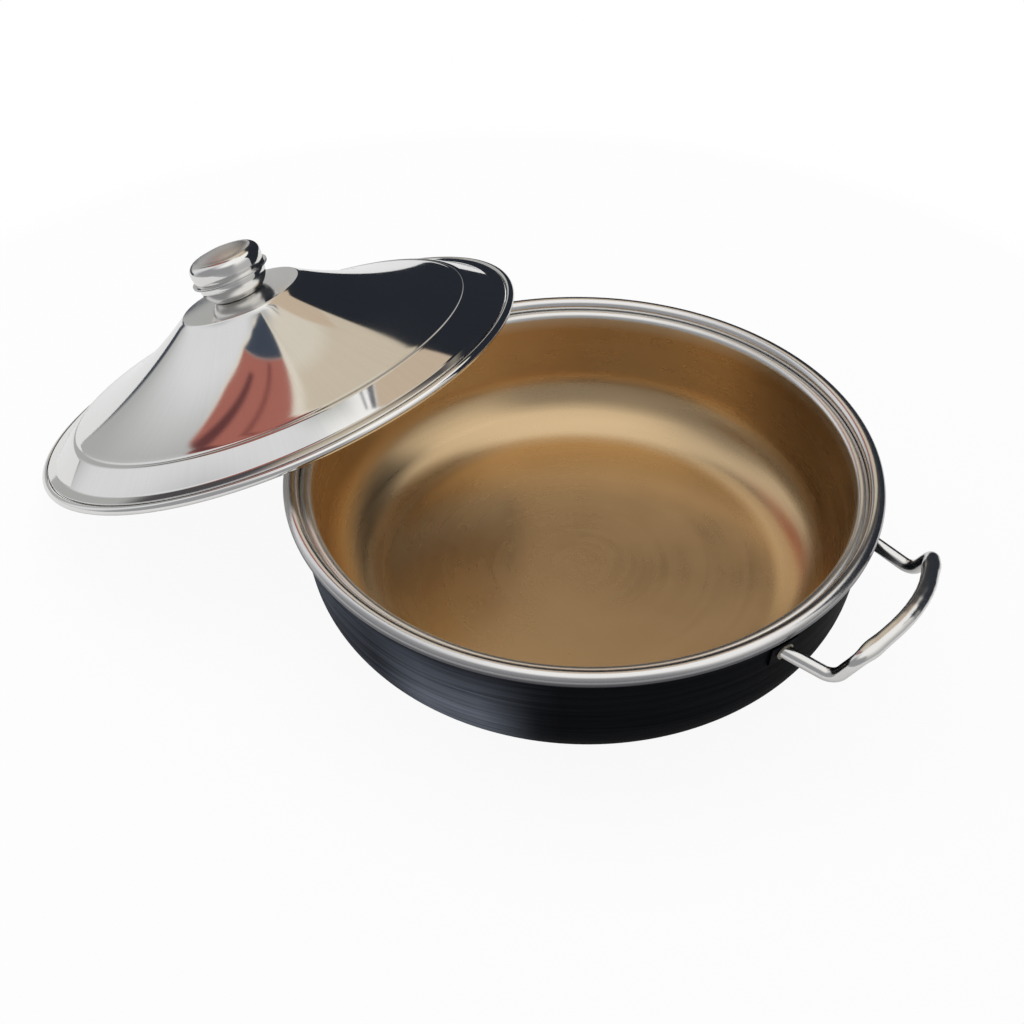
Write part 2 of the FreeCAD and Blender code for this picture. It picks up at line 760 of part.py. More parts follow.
def make_lid_edge_ring():
    """Round bead that closes the lid's edge."""
    points = []
    for step in range(BEAD_ARCS):
        angle = "%d * 1deg" % (360 * step / BEAD_ARCS)
        points.append(("lid_bead_centre + lid_bead * sin(%s)" % angle,
                       "lid_bead - lid_bead * cos(%s)" % angle, "lid_bead", 1))
    return lean(turned_node("lid_edge_ring", points))


def make_lid_liner():
    """Dished inner plate of the lid, with a flat middle and a flange under the cover's flange."""
    return lean(turned_node("lid_liner", [
        ("0", "liner_depth"),
        ("liner_flat - liner_blend", "liner_depth", "liner_turn", -1),
        ("cone_start", "cone_level"),
        ("liner_foot", "liner_level - liner_thick"),
        ("liner_edge", "liner_level - liner_thick"),
        ("liner_edge", "liner_level"),
        ("liner_foot", "liner_level"),
        ("cone_start", "cone_level + liner_thick", "liner_turn", 1),
        ("liner_flat - liner_blend", "liner_depth + liner_thick"),
        ("0", "liner_depth + liner_thick"),
    ]))


def make_lid_insulation():
    """Foam between liner and cover, hollow where the knob's screw head sits."""
    over = "liner_thick + foam_gap"
    edge_fall = "tan(liner_tilt * 1deg) * (lid_foam_edge - cone_start)"
    roof = "flank_top - sheet_thick - lid_foam_gap"
    room = "washer_radius + washer_room"
    room_floor = "crown_level - sheet_thick - washer_thick - stud_head_tall - 4 * foam_gap"
    return lean(turned_node("lid_insulation", [
        ("0", "liner_depth + " + over),
        ("liner_flat - liner_blend", "liner_depth + " + over, "liner_turn", -1),
        ("cone_start", "cone_level + " + over),
        ("lid_foam_edge", "cone_level + %s - %s" % (over, edge_fall)),
        ("lid_foam_edge", "flank_level - skin_down - lid_foam_gap", "flank_round", -1),
        ("flat_radius - lid_foam_gap", roof),
        (room, roof),
        (room, room_floor),
        ("0", room_floor),
    ]))


# --- knob ----------------------------------------------------------------------------------------

def make_knob_cup():
    """Lower half of the hollow knob: a small bowl with a thin lip at its seam."""
    skin = "knob_sheet"
    belly = "knob_radius - belly_inset"
    return lean(turned_node("knob_cup", [
        ("stud_round + fit_gap", "knob_level"),
        ("knob_waist", "knob_level", "cup_belly", 1),
        (belly, "seam_level - lip_thick"),
        ("knob_lip", "seam_level - lip_thick"),
        ("knob_lip", "seam_level"),
        (belly + " - " + skin, "seam_level"),
        (belly + " - " + skin, "seam_level - 2 * lip_thick", "cup_belly - " + skin, -1),
        ("knob_waist - " + skin, "knob_level + " + skin),
        ("stud_round + fit_gap", "knob_level + " + skin),
    ]))


def make_knob_cap():
    """Upper half of the knob: narrow neck, bulging wall, round shoulder, domed top, lip at the seam."""
    skin = "knob_sheet"
    seam = "seam_level + fit_gap"
    under_dome = "dome_round - " + skin
    under_brow = "dome_centre + sqrt(pow(%s; 2) - pow(brow; 2))" % under_dome
    return lean(turned_node("knob_cap", [
        ("cap_neck - " + skin, seam),
        ("knob_lip", seam),
        ("knob_lip", "neck_foot"),
        ("cap_neck", "neck_foot", "cap_belly", 1),
        ("knob_radius", "wall_top", "cap_shoulder", 1),
        ("brow", "brow_level", "dome_round", 1),
        ("0", "dome_centre + dome_round"),
        ("0", "dome_centre + " + under_dome, under_dome, -1),
        ("brow", under_brow, "cap_shoulder - " + skin, -1),
        ("knob_radius - " + skin, "wall_top", "cap_belly - " + skin, -1),
        ("cap_neck - " + skin, "neck_foot"),
    ]))


def make_knob_bush():
    """Threaded bush inside the knob that takes the screw."""
    return lean(turned_node("knob_bush", [
        ("stud_round + fit_gap / 2", "knob_level + knob_sheet + fit_gap"),
        ("bush_radius", "knob_level + knob_sheet + fit_gap"),
        ("bush_radius", "knob_level + knob_sheet + fit_gap + bush_tall"),
        ("0", "knob_level + knob_sheet + fit_gap + bush_tall"),
        ("0", "knob_level + stud_grip + fit_gap"),
        ("stud_round + fit_gap / 2", "knob_level + stud_grip + fit_gap"),
    ]))


def make_knob_screw():
    """Screw up through the lid's flat top into the knob."""
    under = "crown_level - sheet_thick - washer_thick - 2 * fit_gap"
    return lean(turned_node("knob_screw", [
        ("0", under + " - stud_head_tall"),
        ("stud_head", under + " - stud_head_tall"),
        ("stud_head", under),
        ("stud_round", under),
        ("stud_round", "knob_level + stud_grip"),
        ("0", "knob_level + stud_grip"),
    ]))


def make_knob_washer():
    """Washer that spreads the screw's pull under the cover."""
    top = "crown_level - sheet_thick - fit_gap"
    return lean(turned_node("knob_washer", [
        ("stud_round + fit_gap", top + " - washer_thick"),
        ("washer_radius", top + " - washer_thick"),
        ("washer_radius", top),
        ("stud_round + fit_gap", top),
    ]))


# --- assembly and files -----------------------------------------------------------------------------

def check_model():
    """Stop on any failed object or any sub-part without a sound shape."""
    for obj in doc.Objects:
        if "Invalid" in obj.State or "Error" in obj.State:
            raise RuntimeError("%s failed: %s" % (obj.Label, obj.State))
    for node in nodes:
        if node.Shape.isNull() or not node.Shape.isValid() or not node.Shape.Solids:
            raise RuntimeError(node.Label + " has no sound shape")


def write_parts():
    os.makedirs("parts", exist_ok=True)
    for node in nodes:
        node.Shape.exportStep("parts/%s.step" % node.Label)
        box = node.Shape.BoundBox
        print("%-26s %2d solid(s) %10.1f mm3  z %.2f to %.2f" % (
            node.Label, len(node.Shape.Solids), node.Shape.Volume, box.ZMin, box.ZMax))


make_inner_bowl()
make_outer_shell()
make_pot_insulation()
make_rim_ring()
make_base_cover()
make_foot_ring()
make_foam_plug()
make_base_screws()
make_handle("right", 0)
make_handle("left", 180)
make_lid_shell()
make_lid_edge_ring()
make_lid_liner()
make_lid_insulation()
make_knob_cup()
make_knob_cap()
make_knob_bush()
make_knob_screw()
make_knob_washer()
doc.recompute()
check_model()
write_parts()
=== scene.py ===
import math
import bpy
import bmesh
from mathutils import Matrix, Vector


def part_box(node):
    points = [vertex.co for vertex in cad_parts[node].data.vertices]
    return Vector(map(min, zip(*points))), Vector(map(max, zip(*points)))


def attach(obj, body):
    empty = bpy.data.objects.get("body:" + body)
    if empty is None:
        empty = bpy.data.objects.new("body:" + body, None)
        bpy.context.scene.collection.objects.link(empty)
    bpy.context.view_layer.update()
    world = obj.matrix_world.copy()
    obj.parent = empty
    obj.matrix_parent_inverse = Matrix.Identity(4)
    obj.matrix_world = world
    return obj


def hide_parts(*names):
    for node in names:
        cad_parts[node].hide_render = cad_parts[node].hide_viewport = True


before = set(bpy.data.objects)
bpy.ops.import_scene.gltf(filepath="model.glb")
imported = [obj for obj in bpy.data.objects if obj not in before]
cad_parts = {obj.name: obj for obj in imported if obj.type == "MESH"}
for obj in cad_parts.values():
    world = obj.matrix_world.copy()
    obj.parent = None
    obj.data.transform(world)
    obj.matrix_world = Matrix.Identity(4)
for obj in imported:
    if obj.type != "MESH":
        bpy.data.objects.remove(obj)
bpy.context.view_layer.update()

# Insulated casserole: an open pot and its loose lid, which leans on one of the pot's handles.
# Lengths here are in millimetres, unless a comment says metres, and MM turns them into metres.
MM = 0.001
SEGMENTS = 224
KNOB_SEGMENTS = 128
ON_AXIS = 1e-6
LEAST_RADIUS = 0.01

# --- camera ---------------------------------------------------------------------------------------
PICTURE = 1024
FOCAL_PIXELS = 1797.0
RIM_CENTRE_PIXEL = (581.9, 460.2)
VIEW_AZIMUTH = math.radians(30.6)
VIEW_ELEVATION = math.radians(39.13)
VIEW_ROLL = math.radians(-1.62)
VIEW_DISTANCE = 780.0
SENSOR = 36.0
FARTHEST_SEEN = 50000.0

# --- pot: rim, walls and floor ----------------------------------------------------------------------
POT_TALL = 74.0
WALL_SLOPE = math.radians(8.6)
WALL_TAN = math.tan(WALL_SLOPE)
SHEET = 0.8
WALL_RUN = SHEET / math.cos(WALL_SLOPE)
GAP = 0.15
MOUTH_RADIUS = 118.0
LIP_ROUND = 3.0
LIP_DROP = 3.8
LIP_LEG = 3.2
LIP_LEVEL = POT_TALL - LIP_DROP - LIP_ROUND
LIP_CENTRE = MOUTH_RADIUS + LIP_ROUND
BEAD_ROUND = 3.4
BEAD_LEVEL = POT_TALL - BEAD_ROUND
BEAD_CENTRE = LIP_CENTRE + math.sqrt((LIP_ROUND + BEAD_ROUND + GAP) ** 2 - (BEAD_LEVEL - LIP_LEVEL) ** 2)
BEAD_END = math.radians(225)
BEAD_SPOTS = 44
RIM_RADIUS = BEAD_CENTRE + BEAD_ROUND
SKIRT_THICK = 1.0
SKIRT_DROP = 1.4
SHELL_INSET = 1.0
SHELL_RADIUS = BEAD_CENTRE - SHELL_INSET
SHELL_CORNER = 36.0
NECK_DROP = 9.0
NECK_LEVEL = POT_TALL - NECK_DROP
BASE_TALL = 5.6
PLUG_RADIUS = 6.8
BOWL_CORNER = 30.0
FLOOR_FOAM = 8.0
BOWL_FLOOR = BASE_TALL + 2 * SHEET + FLOOR_FOAM

# --- handles: spots of the centre line are outwards, sideways and upwards from (RIM_RADIUS, 0, POT_TALL) ---
HANDLE_ROOT = (-12.0, 40.0, -16.4)
HANDLE_BEND = (10.4, 37.8, -21.8)
HANDLE_RISER = (18.2, 36.4, -9.0)
HANDLE_MIDDLE = (26.2, 0.0, -4.0)
BEND_ROUND = 7.0
RISER_ROUND = 6.0
GRIP_ROUND = 60.0
ROD_ROUND = 3.0
GRIP_WIDE = 3.7
GRIP_THICK = 3.2
GRIP_SWELL = 6.5
BULGE_SIDE = 0.35
BULGE_UP = 0.21
BULGE_AT = 28.0
BULGE_LONG = 3.5
ROD_STEP = 1.5
ROD_SPOTS = 40
PAD_THICK = 1.0
WELD_OUT = 0.25
WELD_ROUND = 0.75
WELD_SPOTS = 44
WELD_SIDES = 10
WELD_SEARCH = 0.02
# Waves in a weld bead's thickness: how many go round it, how far each is turned, and its depth.
WELD_LUMPS = ((9, 1, 0.11), (17, 2, 0.06))

# --- lid, upwards from the lowest plane of its edge bead ----------------------------------------------
# Outlines are (across, up) points; a radius and a side after a point start an arc to the next one.
LID_RADIUS = 121.7
LID_BEAD = 2.0
LID_BEAD_SPOTS = 32
STUD_HOLE = 2.15
FLANK_ROUND = 230.0
EDGE_SOFT = 0.3
COVER_OUTSIDE = [
    (117.9, 4.3), (113.9, 4.85, 3.0, -1), (112.5, 5.5), (102.24, 12.13, 4.0, 1), (100.1, 12.78, 3.0, -1),
    (98.4, 13.26), (97.7, 13.5, FLANK_ROUND, -1), (30.5, 44.6, 4.0, 1), (29.3, 45.4), (12.5, 46.7),
    (STUD_HOLE, 46.7),
]
COVER_INSIDE = [
    (STUD_HOLE, 45.9), (12.5, 45.9), (29.3, 44.6, 4.0, -1), (30.2, 43.9, FLANK_ROUND, 1), (97.4, 12.7),
    (98.4, 12.2), (100.0, 11.9, 4.0, -1), (101.9, 11.3), (112.2, 4.9), (113.9, 4.2), (117.9, 3.5),
]
LINER_SHEET = 0.6
LINER_DEPTH = 16.3
LINER_LEVEL = 3.25
LINER_FLAT = 52.0
LINER_BLEND = 8.0
LINER_FOOT = 112.55
LINER_EDGE = 117.55
KNOB_BASE = 46.85
KNOB_SEAM = 57.35
KNOB_WAIST = 11.5
KNOB_LIP = 18.6
KNOB_LIP_THICK = 0.45
KNOB_RIM = 15.6
KNOB_SOFT = 0.2
CUP_BELLY = 10.6
CUP_COLLAR = 0.9
CAP_FOOT = 16.9
CAP_BELLY = 22.0
CAP_INNER_BELLY = 11.95
CAP_WIDE = 17.6
CAP_WALL = 63.35
CAP_SHOULDER = 4.2
CAP_CROWN = 40.18
CAP_CROWN_WIDE = 13.4
CAP_CROWN_INNER_FOOT = 66.73
CAP_TOP = 69.85


# --- meshes -------------------------------------------------------------------------------------------
def new_piece(name, bm, place=Matrix.Identity(4), sharp=40):
    """Turn a bmesh in millimetres into an object with smooth faces and sharp corners."""
    bmesh.ops.recalc_face_normals(bm, faces=bm.faces)
    bmesh.ops.scale(bm, vec=(MM, MM, MM), verts=bm.verts)
    bm.transform(place)
    mesh = bpy.data.meshes.new(name)
    bm.to_mesh(mesh)
    bm.free()
    mesh.polygons.foreach_set("use_smooth", [True] * len(mesh.polygons))
    mesh.set_sharp_from_angle(angle=math.radians(sharp))
    piece = bpy.data.objects.new(name, mesh)
    bpy.context.collection.objects.link(piece)
    return piece


def finish_piece(piece, body, material, slot, *nodes):
    """Give a piece its material, attach it to its body and hide the CAD nodes that it stands for."""
    piece.data.materials.clear()
    piece.data.materials.append(material)
    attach(piece, body)
    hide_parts(*nodes)


def join_rings(bm, low, high):
    """Faces between two closed rings of as many corners, some of which may be one and the same."""
    for step in range(len(low)):
        after = (step + 1) % len(low)
        quad = [low[step], low[after], high[after], high[step]]
        corners = [vert for index, vert in enumerate(quad) if vert not in quad[:index]]
        if len(corners) > 2:
            bm.faces.new(corners)


def lathe(name, outline, place=Matrix.Identity(4), segments=SEGMENTS):
    """Turn a closed outline about the Z axis."""
    bm = bmesh.new()
    rings = []
    for spot in outline:
        if spot.x < ON_AXIS:
            rings.append([bm.verts.new((0, 0, spot.y))] * segments)
            continue
        rings.append([bm.verts.new((spot.x * math.cos(2 * math.pi * step / segments),
                                    spot.x * math.sin(2 * math.pi * step / segments),
                                    spot.y)) for step in range(segments)])
    for low, high in zip(rings, rings[1:] + rings[:1]):
        join_rings(bm, low, high)
    return new_piece(name, bm, place)


def spots(*points):
    """Outline points that need no arc."""
    return [Vector(point) for point in points]


def arc_spots(start, end, radius, side, step_angle=4, longest=2.5):
    """Points between the ends of an arc whose centre is left of its way when side is 1."""
    chord = end - start
    left = Vector((-chord.y, chord.x)).normalized()
    half = chord.length / 2
    centre = (start + end) / 2 + left * math.sqrt(max(radius * radius - half * half, 0.0)) * side
    sweep = 2 * math.asin(min(1.0, half / radius))
    steps = max(3, math.ceil(math.degrees(sweep) / step_angle), math.ceil(chord.length / longest))
    arc = []
    for step in range(1, steps):
        turned = start - centre
        turned.rotate(Matrix.Rotation(side * sweep * step / steps, 2))
        arc.append(centre + turned)
    return arc


def outline_of(points):
    """Closed outline through points, some of which start an arc."""
    outline = []
    for point, after in zip(points, points[1:] + points[:1]):
        start = Vector(point[:2])
        outline.append(start)
        if len(point) == 4:
            outline += arc_spots(start, Vector(after[:2]), *point[2:])
    return outline


def soften(outline, radius, least=25, step_angle=18, most_cut=0.45):
    """Round the outline's corners that turn by more than least degrees."""
    result = []
    for index, spot in enumerate(outline):
        back = outline[index - 1] - spot
        ahead = outline[(index + 1) % len(outline)] - spot
        turn = math.pi - back.angle(ahead)
        if spot.x < ON_AXIS or math.degrees(turn) < least:
            result.append(spot)
            continue
        cut = min(radius * math.tan(turn / 2), most_cut * back.length, most_cut * ahead.length)
        first = spot + back.normalized() * cut
        last = spot + ahead.normalized() * cut
        steps = max(2, math.ceil(math.degrees(turn) / step_angle))
        for step in range(steps + 1):
            share = step / steps
            result.append(first.lerp(spot, share).lerp(spot.lerp(last, share), share))
    return result


def round_arc(across, up, radius, start, end, steps):
    """Points on a circle from one angle to another, with both ends."""
    turns = [start + (end - start) * step / steps for step in range(steps + 1)]
    return [Vector((across + radius * math.cos(turn), up + radius * math.sin(turn))) for turn in turns]


def lid_place():
    """Leaning pose of the lid, read from the box of its edge bead."""
    low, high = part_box("lid_edge_ring")
    middle = (Vector(low) + Vector(high)) / 2
    across, _, up = (Vector(high) - Vector(low)) / 2
    bead = LID_BEAD * MM
    tilt = math.atan2(up - bead, across - bead)
    turn = Matrix.Rotation(-tilt, 4, "Y")
    return Matrix.Translation(middle) @ turn @ Matrix.Translation((0, 0, -bead))


LID = lid_place()


# --- node trees ---------------------------------------------------------------------------------------
class Tree:
    """Short calls for the nodes of a material or a world."""

    def __init__(self, owner, empty=False):
        owner.use_nodes = True
        self.tree = owner.node_tree
        if empty:
            self.tree.nodes.clear()

    def add(self, kind, **settings):
        node = self.tree.nodes.new(kind)
        for key, value in settings.items():
            setattr(node, key, value)
        return node

    def feed(self, socket, source):
        """Give a socket a number, a colour or the output of another node."""
        if isinstance(source, (int, float)):
            socket.default_value = source
        elif isinstance(source, tuple):
            socket.default_value = (*source, 1)
        else:
            self.tree.links.new(source, socket)

    def math(self, operation, *sources):
        node = self.add("ShaderNodeMath", operation=operation)
        for socket, source in zip(node.inputs, sources):
            self.feed(socket, source)
        return node.outputs[0]

    def split(self, vector):
        node = self.add("ShaderNodeSeparateXYZ")
        self.feed(node.inputs[0], vector)
        return node.outputs

    def spread(self, source, low, high, low_in=0.3, high_in=0.7, curve="LINEAR"):
        """Carry a value from one range to another, and stop at its ends."""
        node = self.add("ShaderNodeMapRange", interpolation_type=curve)
        self.feed(node.inputs["Value"], source)
        for key, value in (("From Min", low_in), ("From Max", high_in), ("To Min", low), ("To Max", high)):
            node.inputs[key].default_value = value
        return node.outputs["Result"]

    def mix(self, share, first, second):
        """Colour between two colours or outputs."""
        node = self.add("ShaderNodeMix", data_type="RGBA")
        self.feed(node.inputs["Factor"], share)
        for key, colour in (("A", first), ("B", second)):
            self.feed([item for item in node.inputs if item.name == key and item.type == "RGBA"][0], colour)
        return [item for item in node.outputs if item.type == "RGBA"][0]


class Finish(Tree):
    """A material whose patterns follow the round piece that it covers.

    up, radius and run, the distance down the piece, are in metres. east and north are the two sides
    of the turn round the axis."""

    def __init__(self, name, place=None, **values):
        self.material = bpy.data.materials.new(name)
        super().__init__(self.material)
        self.shader = self.tree.nodes["Principled BSDF"]
        for key, value in values.items():
            self.put(key.replace("_", " "), value)
        self.vector = self.add("ShaderNodeTexCoord").outputs["Object"]
        if place is not None:
            unplaced = self.add("ShaderNodeMapping", vector_type="TEXTURE")
            unplaced.inputs["Location"].default_value = place.to_translation()
            unplaced.inputs["Rotation"].default_value = place.to_euler()
            self.feed(unplaced.inputs["Vector"], self.vector)
            self.vector = unplaced.outputs[0]
        across, along, self.up = self.split(self.vector)
        squares = self.math("ADD", self.math("MULTIPLY", across, across), self.math("MULTIPLY", along, along))
        self.radius = self.math("MAXIMUM", self.math("SQRT", squares), LEAST_RADIUS * MM)
        self.run = self.math("ADD", self.radius, self.up)
        self.east = self.math("DIVIDE", across, self.radius)
        self.north = self.math("DIVIDE", along, self.radius)

    def put(self, name, source):
        """Feed one of the shader's own sockets."""
        self.feed(self.shader.inputs[name], source)

    def noise(self, vector, scale, detail=3.0, roughness=0.5):
        node = self.add("ShaderNodeTexNoise")
        for key, value in (("Scale", scale), ("Detail", detail), ("Roughness", roughness)):
            node.inputs[key].default_value = value
        self.feed(node.inputs["Vector"], vector)
        return node.outputs["Fac"]

    def turned_lines(self, round_scale, run_scale, detail=4.0, roughness=0.6):
        """Noise drawn out round the axis when run_scale is the larger, and along the slope otherwise."""
        stretched = self.add("ShaderNodeCombineXYZ")
        for socket, source, scale in zip(stretched.inputs, (self.east, self.north, self.run),
                                         (round_scale, round_scale, run_scale)):
            self.feed(socket, self.math("MULTIPLY", source, scale))
        return self.noise(stretched.outputs[0], 1.0, detail, roughness)

    def beyond(self, source, low, high):
        """0 where a distance is under low and 1 where it is over high, both in millimetres."""
        return self.spread(source, 0.0, 1.0, low * MM, high * MM)

    def toward(self, side):
        """1 on the two opposite sides of the piece that face an azimuth, and 0 across from them."""
        facing = self.math("ADD", self.math("MULTIPLY", self.east, math.cos(side)),
                           self.math("MULTIPLY", self.north, math.sin(side)))
        return self.math("MULTIPLY", facing, facing)

    def brushed_round(self, amount):
        """Stretch highlights across lines that run round the piece's axis."""
        self.put("Anisotropic", amount)
        self.put("Anisotropic Rotation", 0.25)
        self.put("Tangent", self.add("ShaderNodeTangent", direction_type="RADIAL", axis="Z").outputs[0])

    def bump(self, height, strength, distance):
        """Relief whose distance, from its lowest to its highest, is in metres."""
        node = self.add("ShaderNodeBump")
        node.inputs["Strength"].default_value = strength
        node.inputs["Distance"].default_value = distance
        self.feed(node.inputs["Height"], height)
        self.put("Normal", node.outputs[0])


# --- materials ----------------------------------------------------------------------------------------
CHROME = (0.84, 0.83, 0.81)
BARE_STEEL = (0.80, 0.79, 0.77)
RIM_COLOUR = (0.80, 0.79, 0.78)
# Painted dark reflection on the bead's outer lower flank.
BEAD_PAINTED_DARK_REFLECTION = (0.10, 0.10, 0.11)
# Painted warm golden reflection inside the bowl.
BOWL_PAINTED_GOLD_REFLECTION = (0.68, 0.49, 0.28)
# Black lacquer of the skirt, carried up the bead's underside as a painted dark reflection.
SKIRT_LACQUER_AND_PAINTED_REFLECTION = (0.005, 0.005, 0.006)
SKIRT_ROUGH = 0.42
LACQUER = (0.0010, 0.0012, 0.0016)
# Lacquer colours of the painted sheen and of the painted slate highlight.
PAINTED_SHEEN_LACQUER = (0.066, 0.077, 0.103)
PAINTED_HIGHLIGHT_LACQUER = (0.19, 0.21, 0.255)
LACQUER_ROUGH = 0.48

# Azimuths of the lacquer's painted sheen and painted highlight, then the levels, and the radii of the bead's
# flank, between which the painted highlight, the bowl's painted reflection and the rim's lacquer and painted
# reflection change.
PAINTED_SHEEN_SIDE = math.radians(-116)
PAINTED_HIGHLIGHT_SIDE = math.radians(-84)
PAINTED_HIGHLIGHT_BELOW = (36.0, 66.0)
BARE_LIP = (62.0, 68.5)
LACQUER_AND_PAINTED_REFLECTION_EDGE = (68.8, 69.8)
BEAD_FLANK = (126.6, 128.0)
BEAD_UNDER = (70.4, 73.1)


def turned_steel(name, colour, rough, wear, depth, fine, strokes=0.0, grain=0.15, middle=None,
                 place=None, detail=4.0):
    """Turned steel: spin lines of a depth and fineness, faint smudges, and strokes down the slope.

    middle gives the extra roughness at the axis and the two radii between which it fades."""
    steel = Finish(name, place, Metallic=1.0)
    lines = steel.turned_lines(0.8, fine, detail)
    smudge = steel.noise(steel.vector, 22.0, 4.0)
    specks = steel.noise(steel.vector, 900.0, 2.0)
    height = steel.math("ADD", lines, steel.math("MULTIPLY", specks, grain))
    patches = steel.math("ADD", steel.math("MULTIPLY", smudge, 0.7), steel.math("MULTIPLY", lines, 0.3))
    steel.gloss = steel.spread(patches, rough, rough + wear)
    shade = smudge
    if middle:
        dullness, inner, outer = middle
        duller = steel.spread(steel.radius, dullness, 0.0, inner * MM, outer * MM)
        steel.gloss = steel.math("ADD", steel.gloss, duller)
    if strokes:
        down = steel.turned_lines(46.0, 6.0, 5.0, 0.7)
        height = steel.math("ADD", height, steel.math("MULTIPLY", down, strokes))
        shade = steel.math("ADD", steel.math("MULTIPLY", smudge, 0.5), steel.math("MULTIPLY", down, 0.5))
    darker = tuple(value * 0.93 for value in colour)
    steel.tone = steel.mix(steel.spread(shade, 0.0, 1.0), darker, colour)
    steel.put("Roughness", steel.gloss)
    steel.put("Base Color", steel.tone)
    steel.bump(height, depth, 0.0001)
    return steel


def bowl_steel():
    """Satin steel with a painted warm golden reflection inside the bowl and plain steel on its lip."""
    steel = turned_steel("bowl_steel", BOWL_PAINTED_GOLD_REFLECTION, 0.23, 0.10, 0.03, 300.0, grain=0.0, detail=0.0)
    # Painted golden reflection inside the bowl, plain steel from the lip up.
    steel.put("Base Color", steel.mix(steel.beyond(steel.up, *BARE_LIP), steel.tone, BARE_STEEL))
    return steel.material


def rim_steel():
    """Polished steel whose skirt is lacquered with the shell; the black goes on up the bead's underside, and
    the bead's outer lower flank is dark grey, both painted dark reflection.
    """
    steel = turned_steel("rim_steel", RIM_COLOUR, 0.15, 0.08, 0.06, 1800.0)
    # The lacquer reaches up over the bead's underside, where it is a painted dark reflection.
    bare = steel.beyond(steel.up, *LACQUER_AND_PAINTED_REFLECTION_EDGE)
    outside = steel.beyond(steel.radius, *BEAD_FLANK)
    low = steel.math("SUBTRACT", 1.0, steel.beyond(steel.up, *BEAD_UNDER))
    # Painted dark reflection on the bead's outer, lower flank.
    bead_with_painted_reflection = steel.mix(steel.math("MULTIPLY", outside, low), steel.tone, BEAD_PAINTED_DARK_REFLECTION)
    shiny = steel.math("MULTIPLY", bare, steel.math("SUBTRACT", steel.gloss, SKIRT_ROUGH))
    steel.put("Base Color", steel.mix(bare, SKIRT_LACQUER_AND_PAINTED_REFLECTION, bead_with_painted_reflection))
    steel.put("Metallic", bare)
    steel.put("Roughness", steel.math("ADD", shiny, SKIRT_ROUGH))
    steel.put("Specular IOR Level", 0.1)
    return steel.material


def black_lacquer():
    """Black lacquer over spun sheet, with turning lines, a streaked painted sheen and a painted slate
    highlight on two opposite sides.
    """
    paint = Finish("black_lacquer", Specular_IOR_Level=0.022)
    paint.brushed_round(0.6)
    lines = paint.turned_lines(1.6, 700.0, 5.0, 0.65)
    cloud = paint.noise(paint.vector, 14.0, 3.0)
    # Painted sheen: lighter streaks along the turning lines on two opposite sides.
    sheen_side = paint.spread(paint.toward(PAINTED_SHEEN_SIDE), 0.05, 1.0, 0.35, 0.95)
    uneven_sheen = paint.math("MULTIPLY", sheen_side, paint.spread(cloud, 0.55, 1.25))
    sheen_streaks = paint.math("MULTIPLY", paint.spread(lines, 0.1, 1.0), uneven_sheen)
    # Painted highlight: a slate patch low on the wall, on two opposite sides.
    highlight_patch = paint.spread(paint.toward(PAINTED_HIGHLIGHT_SIDE), 0.0, 1.0, 0.90, 0.99)
    low = paint.math("SUBTRACT", 1.0, paint.beyond(paint.up, *PAINTED_HIGHLIGHT_BELOW))
    highlight_patch = paint.math("MULTIPLY", paint.math("MULTIPLY", highlight_patch, highlight_patch), low)
    painted_highlight = paint.math("MULTIPLY", paint.spread(lines, 0.35, 1.0), highlight_patch)
    paint.put("Base Color", paint.mix(painted_highlight, paint.mix(sheen_streaks, LACQUER, PAINTED_SHEEN_LACQUER), PAINTED_HIGHLIGHT_LACQUER))
    paint.put("Roughness", paint.spread(lines, LACQUER_ROUGH + 0.1, LACQUER_ROUGH - 0.06))
    paint.bump(lines, 0.35, 0.0002)
    return paint.material


def moulded(name, colour, rough, grain):
    """Moulded plastic, rubber or foam with a fine grain."""
    mould = Finish(name)
    speck = mould.noise(mould.vector, grain, 4.0)
    cloud = mould.noise(mould.vector, 18.0, 3.0)
    lighter = tuple(min(1.0, value * 1.25 + 0.004) for value in colour)
    mould.put("Base Color", mould.mix(mould.spread(cloud, 0.0, 1.0), colour, lighter))
    mould.put("Roughness", mould.spread(speck, rough - 0.06, rough + 0.06))
    mould.bump(speck, 0.3, 0.0002)
    return mould.material


def lid_steel(name, colour, rough, wear, depth, fine, **more):
    """Turned steel whose lines run round the lid's own axis."""
    return turned_steel(name, colour, rough, wear, depth, fine, place=LID, **more).material


def pot_steel(name, colour, rough, wear, depth, fine):
    """Turned steel whose lines run round the pot's axis."""
    return turned_steel(name, colour, rough, wear, depth, fine).material


MIRROR = lid_steel("mirror_steel", CHROME, 0.035, 0.05, 0.03, 1500.0)
COVER_STEEL = lid_steel("cover_steel", CHROME, 0.03, 0.05, 0.03, 1500.0, strokes=0.5,
                        middle=(0.13, 24.0, 34.0))
KNOB_STEEL = lid_steel("knob_steel", CHROME, 0.05, 0.05, 0.03, 1500.0, middle=(0.30, 11.0, 16.8))
LINER_STEEL = lid_steel("liner_steel", (0.74, 0.73, 0.71), 0.22, 0.10, 0.05, 420.0, detail=1.0)
SCREW_STEEL = pot_steel("screw_steel", (0.62, 0.61, 0.58), 0.28, 0.12, 0.10, 2500.0)
WELD_STEEL = pot_steel("weld_steel", (0.26, 0.23, 0.19), 0.30, 0.15, 0.30, 900.0)
ROD_STEEL = pot_steel("rod_steel", BARE_STEEL, 0.15, 0.08, 0.04, 700.0)
RIM_STEEL = rim_steel()
BOWL_STEEL = bowl_steel()
BLACK = black_lacquer()
PLASTIC = moulded("black_plastic", (0.022, 0.022, 0.023), 0.55, 700.0)
RUBBER = moulded("black_rubber", (0.018, 0.018, 0.018), 0.80, 500.0)
FOAM = moulded("foam", (0.80, 0.70, 0.46), 0.90, 260.0)

